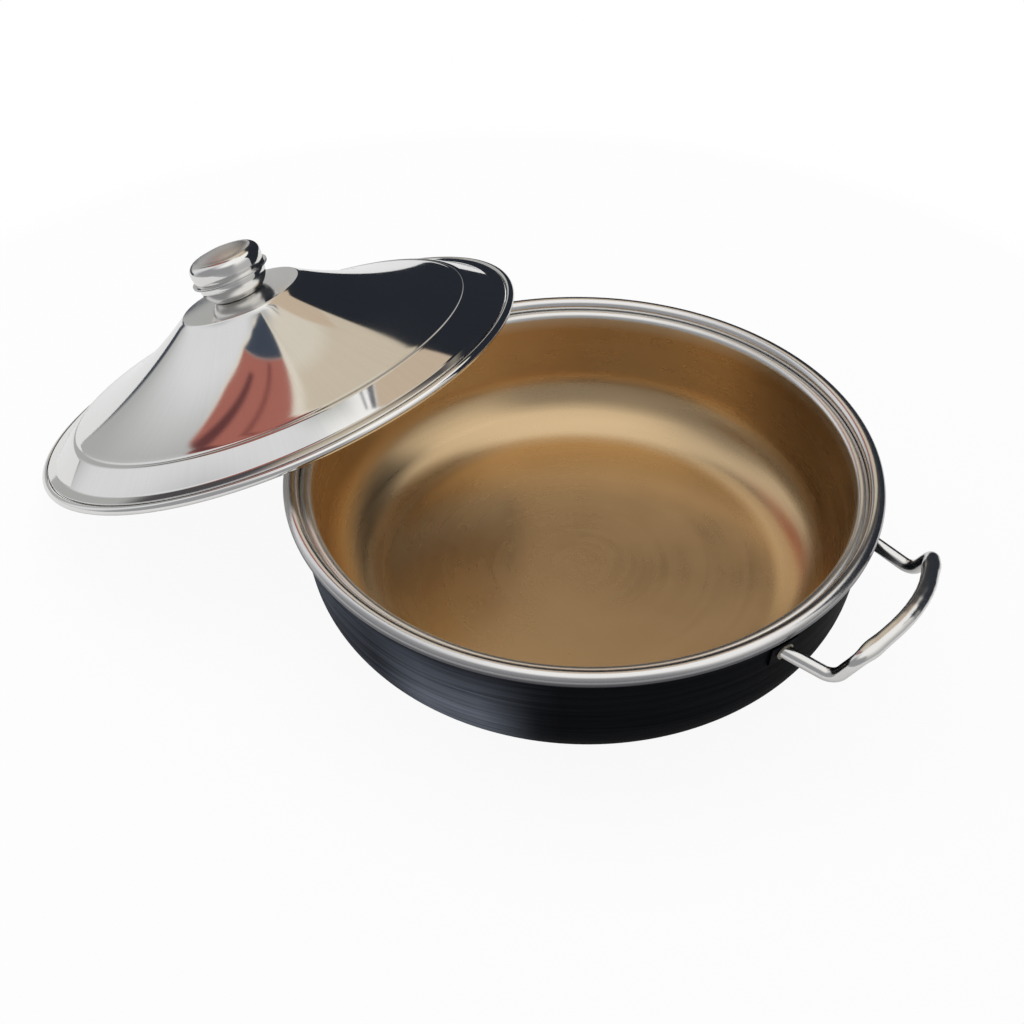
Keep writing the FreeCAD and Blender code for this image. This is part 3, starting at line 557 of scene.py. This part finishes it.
CAD_MATERIALS = {
    "base_cover": PLASTIC, "foot_ring": RUBBER, "foam_plug": PLASTIC,
    "base_screws": SCREW_STEEL, "knob_bush": SCREW_STEEL, "knob_screw": SCREW_STEEL,
    "knob_washer": SCREW_STEEL, "pot_insulation": FOAM, "lid_insulation": FOAM,
}


def dress_cad_nodes():
    """Give every CAD node its material. Those not named are the lacquered welding pads."""
    for name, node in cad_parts.items():
        node.data.materials.clear()
        node.data.materials.append(CAD_MATERIALS.get(name, BLACK))


# --- pot ----------------------------------------------------------------------------------------------
def shell_at(level):
    """Outer radius of the pot's wall at a height."""
    return SHELL_RADIUS - WALL_TAN * (NECK_LEVEL - level)


def bowl_at(level):
    """Inner radius of the bowl's wall at a height."""
    return MOUTH_RADIUS - WALL_TAN * (LIP_LEVEL - level)


def corner_arc(radius_at, level, arc, grow, steps=24):
    """Points of a round corner from the flat bottom to the wall, its radius grown by grow."""
    turn_level = level + arc * (1 - math.sin(WALL_SLOPE))
    across = radius_at(turn_level) - arc * math.cos(WALL_SLOPE)
    return round_arc(across, level + arc, arc + grow, -math.pi / 2, -WALL_SLOPE, steps)


def lip_arc(radius, steps=20):
    """Half round of the rolled lip, outwards from the mouth, without its ends."""
    return round_arc(LIP_CENTRE, LIP_LEVEL, radius, math.pi, 0.0, steps)[1:-1]


def make_bowl():
    """Bowl with a round corner, a sloping wall, and a lip rolled outwards with a short leg."""
    under = LIP_CENTRE + LIP_ROUND - SHEET
    over = LIP_CENTRE + LIP_ROUND
    leg_foot = LIP_LEVEL - LIP_LEG
    outline = spots((0, BOWL_FLOOR - SHEET)) + corner_arc(bowl_at, BOWL_FLOOR, BOWL_CORNER, SHEET)
    outline += spots((bowl_at(LIP_LEVEL) + WALL_RUN, LIP_LEVEL)) + lip_arc(LIP_ROUND - SHEET)
    outline += spots((under, LIP_LEVEL), (under, leg_foot), (over, leg_foot), (over, LIP_LEVEL))
    outline += lip_arc(LIP_ROUND)[::-1] + spots((MOUTH_RADIUS, LIP_LEVEL))
    outline += corner_arc(bowl_at, BOWL_FLOOR, BOWL_CORNER, 0.0)[::-1] + spots((0, BOWL_FLOOR))
    finish_piece(lathe("bowl", outline), "pot", BOWL_STEEL, "satin_steel", "inner_bowl")


def make_shell():
    """Shell with a round corner and the foam's hole in its bottom."""
    hole = PLUG_RADIUS + GAP
    top = shell_at(LIP_LEVEL)
    outline = spots((hole, BASE_TALL)) + corner_arc(shell_at, BASE_TALL, SHELL_CORNER, 0.0)
    outline += spots((top, LIP_LEVEL), (top - WALL_RUN, LIP_LEVEL))
    outline += corner_arc(shell_at, BASE_TALL, SHELL_CORNER, -SHEET)[::-1] + spots((hole, BASE_TALL + SHEET))
    finish_piece(lathe("shell", outline), "pot", BLACK, "black_lacquer", "outer_shell")


def make_rim():
    """Rolled bead over the lip with a skirt round the shell's top."""
    skirt_inner = SHELL_RADIUS + WALL_TAN * (LIP_LEVEL - NECK_LEVEL) + GAP
    skirt_outer = skirt_inner + SKIRT_THICK
    skirt_foot = BEAD_LEVEL - BEAD_ROUND - SKIRT_DROP
    roof = LIP_LEVEL + GAP
    start = -math.acos((skirt_outer - BEAD_CENTRE) / BEAD_ROUND)
    outline = round_arc(BEAD_CENTRE, BEAD_LEVEL, BEAD_ROUND, start, BEAD_END, BEAD_SPOTS)
    outline += spots((LIP_CENTRE + LIP_ROUND + 2 * GAP, roof), (skirt_inner, roof),
                     (skirt_inner, skirt_foot), (skirt_outer, skirt_foot))
    rim = lathe("rim", soften(outline, EDGE_SOFT))
    finish_piece(rim, "pot", RIM_STEEL, "polished_steel", "rim_ring")


# --- handles ------------------------------------------------------------------------------------------
def rounded_path(points, radii, step_angle=6):
    """Points along straight runs joined by tangent arcs."""
    path = [points[0]]
    for before, corner, after, radius in zip(points, points[1:], points[2:], radii):
        back = (before - corner).normalized()
        ahead = (after - corner).normalized()
        half = back.angle(ahead) / 2
        centre = corner + (back + ahead).normalized() * (radius / math.sin(half))
        start = corner + back * (radius / math.tan(half)) - centre
        sweep = math.pi - 2 * half
        axis = back.cross(ahead)
        steps = max(6, math.ceil(math.degrees(sweep) / step_angle))
        path += [centre + Matrix.Rotation(-sweep * step / steps, 3, axis) @ start
                 for step in range(steps + 1)]
    return path + [points[-1]]


def fill_in(path, longest):
    """Divide the path's long runs."""
    filled = [path[0]]
    for start, end in zip(path, path[1:]):
        pieces = max(1, math.ceil((end - start).length / longest))
        filled += [start.lerp(end, step / pieces) for step in range(1, pieces + 1)]
    return filled


def handle_path():
    """Centre line of the handle at +X, from one pad over the grip to the other.

    The grip is an arc, so its two straight ends meet in an apex above its middle."""
    rim = Vector((RIM_RADIUS, 0, POT_TALL))
    front = [rim + Vector(spot) for spot in (HANDLE_ROOT, HANDLE_BEND, HANDLE_RISER)]
    rear = [Vector((spot.x, -spot.y, spot.z)) for spot in reversed(front)]
    riser = front[-1]
    between = Vector((riser.x, 0, riser.z))
    out = rim + Vector(HANDLE_MIDDLE) - between
    beyond = GRIP_ROUND - out.length
    square = 1 - (GRIP_ROUND / riser.y) ** 2
    linear = 2 * beyond
    constant = beyond ** 2 - GRIP_ROUND ** 2
    apex = (math.sqrt(linear ** 2 - 4 * square * constant) - linear) / (2 * square)
    top = between + out.normalized() * apex
    radii = (BEND_ROUND, RISER_ROUND, GRIP_ROUND, RISER_ROUND, BEND_ROUND)
    return fill_in(rounded_path(front + [top] + rear, radii), ROD_STEP)


def smooth_step(value):
    """0 up to 0, 1 from 1 on, and an even curve between."""
    value = min(1.0, max(0.0, value))
    return value * value * (3 - 2 * value)


def rod_section(sideways):
    """Half width and half height of the rod at a distance from the handle's middle."""
    grip = smooth_step((HANDLE_RISER[1] - sideways) / GRIP_SWELL)
    bulge = math.exp(-((sideways - BULGE_AT) / BULGE_LONG) ** 2)
    return (ROD_ROUND + (GRIP_WIDE - ROD_ROUND) * grip + BULGE_SIDE * bulge,
            ROD_ROUND + (GRIP_THICK - ROD_ROUND) * grip + BULGE_UP * bulge)


def make_handle(side, turn):
    """Rod whose section swells to the oval grip just after each riser.

    spoke is carried along the path without a twist, so the faces of the rod don't wind round it."""
    path = handle_path()
    bm = bmesh.new()
    rings = []
    spoke = Vector((0, 1, 0))
    for index, spot in enumerate(path):
        along = (path[min(index + 1, len(path) - 1)] - path[max(index - 1, 0)]).normalized()
        across = along.cross(Vector((0, 0, 1))).normalized()
        upward = across.cross(along)
        spoke = (spoke - along * spoke.dot(along)).normalized()
        other = along.cross(spoke)
        wide, thick = rod_section(abs(spot.y))
        ring = []
        for step in range(ROD_SPOTS):
            turned = 2 * math.pi * step / ROD_SPOTS
            way = spoke * math.cos(turned) + other * math.sin(turned)
            reach = wide * thick / math.hypot(thick * way.dot(across), wide * way.dot(upward))
            ring.append(bm.verts.new(spot + way * reach))
        rings.append(ring)
    for low, high in zip(rings, rings[1:]):
        join_rings(bm, low, high)
    bm.faces.new(rings[0])
    bm.faces.new(rings[-1])
    rod = new_piece(side + "_rod", bm, Matrix.Rotation(turn, 4, "Z"))
    finish_piece(rod, "pot", ROD_STEEL, "polished_steel", side + "_handle")


def weld_ring(bm, centre, axis, face, phase):
    """Lumpy bead where a rod meets the flat face of its pad."""
    side = axis.orthogonal().normalized()
    other = axis.cross(side)
    rings = []
    for step in range(WELD_SPOTS):
        turn = 2 * math.pi * step / WELD_SPOTS
        spoke = (side * math.cos(turn) + other * math.sin(turn)) * (ROD_ROUND + WELD_OUT)
        spoke -= axis * (spoke.dot(face) / axis.dot(face))
        out = spoke.normalized()
        size = WELD_ROUND + sum(depth * math.sin(count * turn + shift * phase)
                                for count, shift, depth in WELD_LUMPS)
        sides = [2 * math.pi * part / WELD_SIDES for part in range(WELD_SIDES)]
        rings.append([bm.verts.new(centre + spoke + (out * math.cos(way) + face * math.sin(way)) * size)
                      for way in sides])
    for ring, after in zip(rings, rings[1:] + rings[:1]):
        join_rings(bm, ring, after)


def make_welds(side, turn):
    """Weld beads at both ends of a handle, where its rod meets the pads on the wall."""
    bm = bmesh.new()
    path = handle_path()
    for root, bend in ((path[0], path[1]), (path[-1], path[-2])):
        axis = (bend - root).normalized()
        spot = root.copy()
        while math.hypot(spot.x, spot.y) < shell_at(spot.z) + GAP + PAD_THICK:
            spot += axis * WELD_SEARCH
        face = Vector((spot.x, spot.y, -WALL_TAN * math.hypot(spot.x, spot.y))).normalized()
        weld_ring(bm, spot, axis, face, spot.y)
    welds = new_piece(side + "_weld_beads", bm, Matrix.Rotation(turn, 4, "Z"), sharp=60)
    finish_piece(welds, "pot", WELD_STEEL, "satin_steel", side + "_handle_welds")


# --- lid ----------------------------------------------------------------------------------------------
def make_lid_cover():
    """Spun cover: flange, cove, shoulder, coved step, hollow flank and flat top."""
    outline = soften(outline_of(COVER_OUTSIDE + COVER_INSIDE), EDGE_SOFT, least=18)
    cover = lathe("lid_cover", outline, LID)
    finish_piece(cover, "lid", COVER_STEEL, "polished_steel", "lid_outer_shell")


def make_lid_bead():
    """Rolled edge of the lid."""
    outline = round_arc(LID_RADIUS - LID_BEAD, LID_BEAD, LID_BEAD, 0.0, 2 * math.pi, LID_BEAD_SPOTS)[:-1]
    finish_piece(lathe("lid_bead", outline, LID), "lid", MIRROR, "polished_steel", "lid_edge_ring")


def make_lid_dish():
    """Inner plate: flat middle, soft corner, cone and a flange under the cover's flange."""
    slope = math.atan((LINER_DEPTH - LINER_LEVEL + LINER_SHEET) / (LINER_FOOT - LINER_FLAT))
    turn = LINER_BLEND / math.tan(slope / 2)
    flat = LINER_FLAT - LINER_BLEND
    across = LINER_FLAT + LINER_BLEND * math.cos(slope)
    up = LINER_DEPTH - LINER_BLEND * math.sin(slope)
    flange = LINER_LEVEL - LINER_SHEET
    back = LINER_DEPTH + LINER_SHEET
    outline = outline_of([
        (0, LINER_DEPTH), (flat, LINER_DEPTH, turn, -1), (across, up), (LINER_FOOT, flange),
        (LINER_EDGE, flange), (LINER_EDGE, LINER_LEVEL), (LINER_FOOT, LINER_LEVEL),
        (across, up + LINER_SHEET, turn, 1), (flat, back), (0, back),
    ])
    finish_piece(lathe("lid_dish", outline, LID), "lid", LINER_STEEL, "satin_steel", "lid_liner")


def make_knob():
    """Knob of two pressed cups, whose lips meet in the seam."""
    lip = KNOB_SEAM - KNOB_LIP_THICK
    floor = KNOB_BASE + SHEET
    cup = outline_of([
        (STUD_HOLE, KNOB_BASE), (KNOB_WAIST, KNOB_BASE, CUP_BELLY, 1), (KNOB_RIM + SHEET, lip),
        (KNOB_LIP, lip), (KNOB_LIP, KNOB_SEAM), (KNOB_RIM, KNOB_SEAM),
        (KNOB_RIM, KNOB_SEAM - CUP_COLLAR, CUP_BELLY - SHEET, -1), (KNOB_WAIST - SHEET, floor),
        (STUD_HOLE, floor),
    ])
    low = KNOB_SEAM + GAP
    brim = low + KNOB_LIP_THICK
    cap = outline_of([
        (KNOB_RIM, low), (KNOB_LIP, low), (KNOB_LIP, brim), (CAP_FOOT, brim, CAP_BELLY, 1),
        (CAP_WIDE, CAP_WALL, CAP_SHOULDER, 1), (CAP_CROWN_WIDE, CAP_WALL + CAP_SHOULDER, CAP_CROWN, 1),
        (0, CAP_TOP), (0, CAP_TOP - SHEET, CAP_CROWN - SHEET, -1),
        (CAP_CROWN_WIDE, CAP_CROWN_INNER_FOOT, CAP_SHOULDER - SHEET, -1),
        (CAP_WIDE - SHEET, CAP_WALL, CAP_INNER_BELLY, -1), (KNOB_RIM, brim),
    ])
    lower = lathe("knob_lower", soften(cup, KNOB_SOFT), LID, KNOB_SEGMENTS)
    upper = lathe("knob_upper", soften(cap, KNOB_SOFT), LID, KNOB_SEGMENTS)
    finish_piece(lower, "lid", MIRROR, "polished_steel", "knob_cup")
    finish_piece(upper, "lid", KNOB_STEEL, "polished_steel", "knob_cap")


def make_pot():
    make_bowl()
    make_shell()
    make_rim()
    for side, turn in (("right", 0.0), ("left", math.pi)):
        make_handle(side, turn)
        make_welds(side, turn)


def make_lid():
    make_lid_cover()
    make_lid_bead()
    make_lid_dish()
    make_knob()


# --- camera and floor ---------------------------------------------------------------------------------
def make_camera():
    """Camera at the photograph's viewing angle and framing."""
    back = Vector((math.sin(VIEW_AZIMUTH) * math.cos(VIEW_ELEVATION),
                   -math.cos(VIEW_AZIMUTH) * math.cos(VIEW_ELEVATION), math.sin(VIEW_ELEVATION)))
    right = Vector((math.cos(VIEW_AZIMUTH), math.sin(VIEW_AZIMUTH), 0))
    axes = {"right": right, "up": back.cross(right), "forward": -back}
    pan, tilt = (math.atan2(pixel - PICTURE / 2, FOCAL_PIXELS) for pixel in RIM_CENTRE_PIXEL)
    for angle, name in ((pan, "up"), (tilt, "right"), (VIEW_ROLL, "forward")):
        turn = Matrix.Rotation(angle, 3, axes[name])
        axes = {key: turn @ axis for key, axis in axes.items()}
    camera = bpy.data.cameras.new("camera")
    camera.sensor_width = SENSOR
    camera.lens = FOCAL_PIXELS * SENSOR / PICTURE
    camera.clip_end = FARTHEST_SEEN * MM
    holder = bpy.data.objects.new("camera", camera)
    bpy.context.collection.objects.link(holder)
    place = Matrix((axes["right"], axes["up"], -axes["forward"])).transposed().to_4x4()
    place.translation = (Vector((0, 0, POT_TALL)) + back * VIEW_DISTANCE) * MM
    holder.matrix_world = place
    bpy.context.scene.camera = holder


# Share of the floor's own white that each kind of ray sees; the rest is its lit colour, with the shadow.
FLOOR_GLOW = {"Is Camera Ray": 0.93, "Is Glossy Ray": 0.25, "Is Transmission Ray": 0.25}
FLOOR_GREY = (0.72, 0.72, 0.72)
FLOOR_RADIUS = 430.0
FLOOR_CENTRE = -50.0
FLOOR_FADE = (0.55 * FLOOR_RADIUS, 0.97 * FLOOR_RADIUS)
FLOOR_SEGMENTS = 180


def floor_material():
    """Pale diffuse grey mixed with white light, which is all that the camera sees towards the edge."""
    material = bpy.data.materials.new("floor")
    tree = Tree(material, empty=True)
    rays = tree.add("ShaderNodeLightPath").outputs
    reach = tree.add("ShaderNodeVectorMath", operation="LENGTH")
    tree.feed(reach.inputs[0], tree.add("ShaderNodeTexCoord").outputs["Object"])
    fade = tree.spread(reach.outputs["Value"], 0.0, 1.0, *(far * MM for far in FLOOR_FADE), "SMOOTHSTEP")
    white = 0.0
    for ray, share in FLOOR_GLOW.items():
        white = tree.math("MULTIPLY_ADD", rays[ray], share, white)
    white = tree.math("MAXIMUM", white, tree.math("MULTIPLY", rays["Is Camera Ray"], fade))
    diffuse = tree.add("ShaderNodeBsdfDiffuse")
    tree.feed(diffuse.inputs["Color"], FLOOR_GREY)
    glow = tree.add("ShaderNodeEmission")
    mix = tree.add("ShaderNodeMixShader")
    for socket, source in zip(mix.inputs, (white, diffuse.outputs[0], glow.outputs[0])):
        tree.feed(socket, source)
    tree.feed(tree.add("ShaderNodeOutputMaterial").inputs[0], mix.outputs[0])
    return material


def make_floor():
    """Round table top."""
    bm = bmesh.new()
    bmesh.ops.create_circle(bm, cap_ends=True, segments=FLOOR_SEGMENTS, radius=FLOOR_RADIUS)
    floor = new_piece("floor", bm)
    floor.location.x = FLOOR_CENTRE * MM
    floor.data.materials.append(floor_material())


# --- room and lamps -----------------------------------------------------------------------------------
# The room that metal reflects brightens from the horizon to SKY_FROM degrees up, and has plain colour
# fields: (azimuth, elevation) corners anticlockwise, a colour and a soft edge, later ones over earlier.
ROOM_LOW = (0.50, 0.50, 0.50)
ROOM_HIGH = (1.05, 1.05, 1.04)
ROOM_LIGHT = (0.62, 0.62, 0.63)
SKY_FROM = 58
GREY_WALLS = [
    ([(144, -16), (240, -16), (236, 66), (144, 66)], (0.45, 0.455, 0.45), 7.0),
    ([(169, -10), (240, -10), (240, 72), (169, 72)], (0.80, 0.81, 0.83), 11.0),
    ([(202, -14), (340, -14), (340, 52), (202, 52)], (0.34, 0.345, 0.36), 14.0),
    ([(140, -45), (192, -45), (192, -9), (140, -9)], (0.060, 0.070, 0.090), 1.5),
]
BEIGE_WALLS = [
    ([(112, 7), (153, 7), (154, 56), (112, 56)], (0.66, 0.58, 0.46), 1.0),
    ([(124, 44), (154, 44), (154, 60), (130, 60)], (0.74, 0.68, 0.58), 3.0),
    ([(96, 40), (131, 40), (131, 68), (96, 68)], (0.62, 0.50, 0.38), 0.8),
]
STRIPES = [
    ([(131.5, 57.5), (134.5, 57.5), (134.5, 68), (131.5, 68)], (0.16, 0.16, 0.18), 0.6),
    ([(137, 57.5), (138.5, 57.5), (138.5, 68), (137, 68)], (0.30, 0.31, 0.33), 0.6),
]
RED_CURTAIN = [
    ([(151, 24), (166, 24), (174, 37), (177, 50), (169, 60), (154, 64)], (0.82, 0.76, 0.66), 0.8),
    ([(152.5, 22), (165, 22), (173, 37), (175.5, 49), (155.5, 49)], (0.42, 0.15, 0.12), 0.6),
    ([(162, 22), (164.5, 22), (169, 44), (167, 44)], (0.14, 0.05, 0.05), 0.7),
    ([(158.5, 26), (159.5, 26), (162.5, 48), (161, 48)], (0.24, 0.08, 0.07), 0.6),
    ([(155.5, 49), (175.5, 49), (171, 57), (164, 61), (155, 63.5)], (0.054, 0.069, 0.10), 0.6),
]
DARK_CORNERS = [
    ([(136, 10), (162, 10), (162, 21), (136, 21)], (0.08, 0.075, 0.08), 2.0),
    ([(36, -45), (136, -45), (136, 24), (129.5, 33), (120, 44), (36, 46)], (0.021, 0.025, 0.033), 0.6),
]


class Room(Tree):
    """World shader whose directions are in degrees."""

    def __init__(self, world):
        super().__init__(world, empty=True)
        across, along, up = self.split(self.add("ShaderNodeTexCoord").outputs["Generated"])
        turn = self.math("DEGREES", self.math("ARCTAN2", along, across))
        self.azimuth = self.math("FLOORED_MODULO", turn, 360.0)
        self.elevation = self.math("DEGREES", self.math("ARCSINE", up))

    def field(self, corners, soft):
        """Mask of a convex field."""
        mask = 1.0
        for (left, low), (right, high) in zip(corners, corners[1:] + corners[:1]):
            length = math.hypot(right - left, high - low)
            over = self.math("MULTIPLY", self.math("SUBTRACT", self.elevation, low), (right - left) / length)
            beside = self.math("MULTIPLY", self.math("SUBTRACT", self.azimuth, left), (high - low) / length)
            inside = self.math("SUBTRACT", over, beside)
            mask = self.math("MULTIPLY", mask, self.spread(inside, 0.0, 1.0, -soft, soft, "SMOOTHSTEP"))
        return mask


def make_room():
    """White for the camera, the room's colours for reflections, and plain light for the rest."""
    world = bpy.data.worlds.new("studio")
    bpy.context.scene.world = world
    room = Room(world)
    colour = room.mix(room.spread(room.elevation, 0.0, 1.0, 0, SKY_FROM, "SMOOTHSTEP"), ROOM_LOW, ROOM_HIGH)
    for corners, shade, soft in GREY_WALLS + BEIGE_WALLS + STRIPES + RED_CURTAIN + DARK_CORNERS:
        colour = room.mix(room.field(corners, soft), colour, shade)
    rays = room.add("ShaderNodeLightPath").outputs
    shown = room.mix(rays["Is Glossy Ray"], ROOM_LIGHT, colour)
    shown = room.mix(rays["Is Camera Ray"], shown, (1.0, 1.0, 1.0))
    background = room.add("ShaderNodeBackground")
    room.feed(background.inputs["Color"], shown)
    room.feed(room.add("ShaderNodeOutputWorld").inputs[0], background.outputs[0])


def add_lamp(name, spot, aim, size, power, colour=(1, 1, 1)):
    """Square soft lamp that metal doesn't show; places and size in metres."""
    lamp = bpy.data.lights.new(name, "AREA")
    lamp.shape = "RECTANGLE"
    lamp.size = size
    lamp.size_y = size
    lamp.energy = power
    lamp.color = colour
    holder = bpy.data.objects.new(name, lamp)
    bpy.context.collection.objects.link(holder)
    holder.location = spot
    holder.rotation_euler = (Vector(aim) - Vector(spot)).to_track_quat("-Z", "Y").to_euler()
    holder.visible_glossy = False


make_pot()
make_lid()
dress_cad_nodes()
make_camera()
make_floor()
make_room()
add_lamp("softbox_top", (-0.2, 0.2, 1.4), (0, 0, 0), 1.2, 9)
add_lamp("softbox_left", (-1.3, -0.7, 0.8), (0, 0, 0.05), 0.9, 5, (0.92, 0.95, 1.0))
bpy.context.scene.view_settings.view_transform = "Standard"
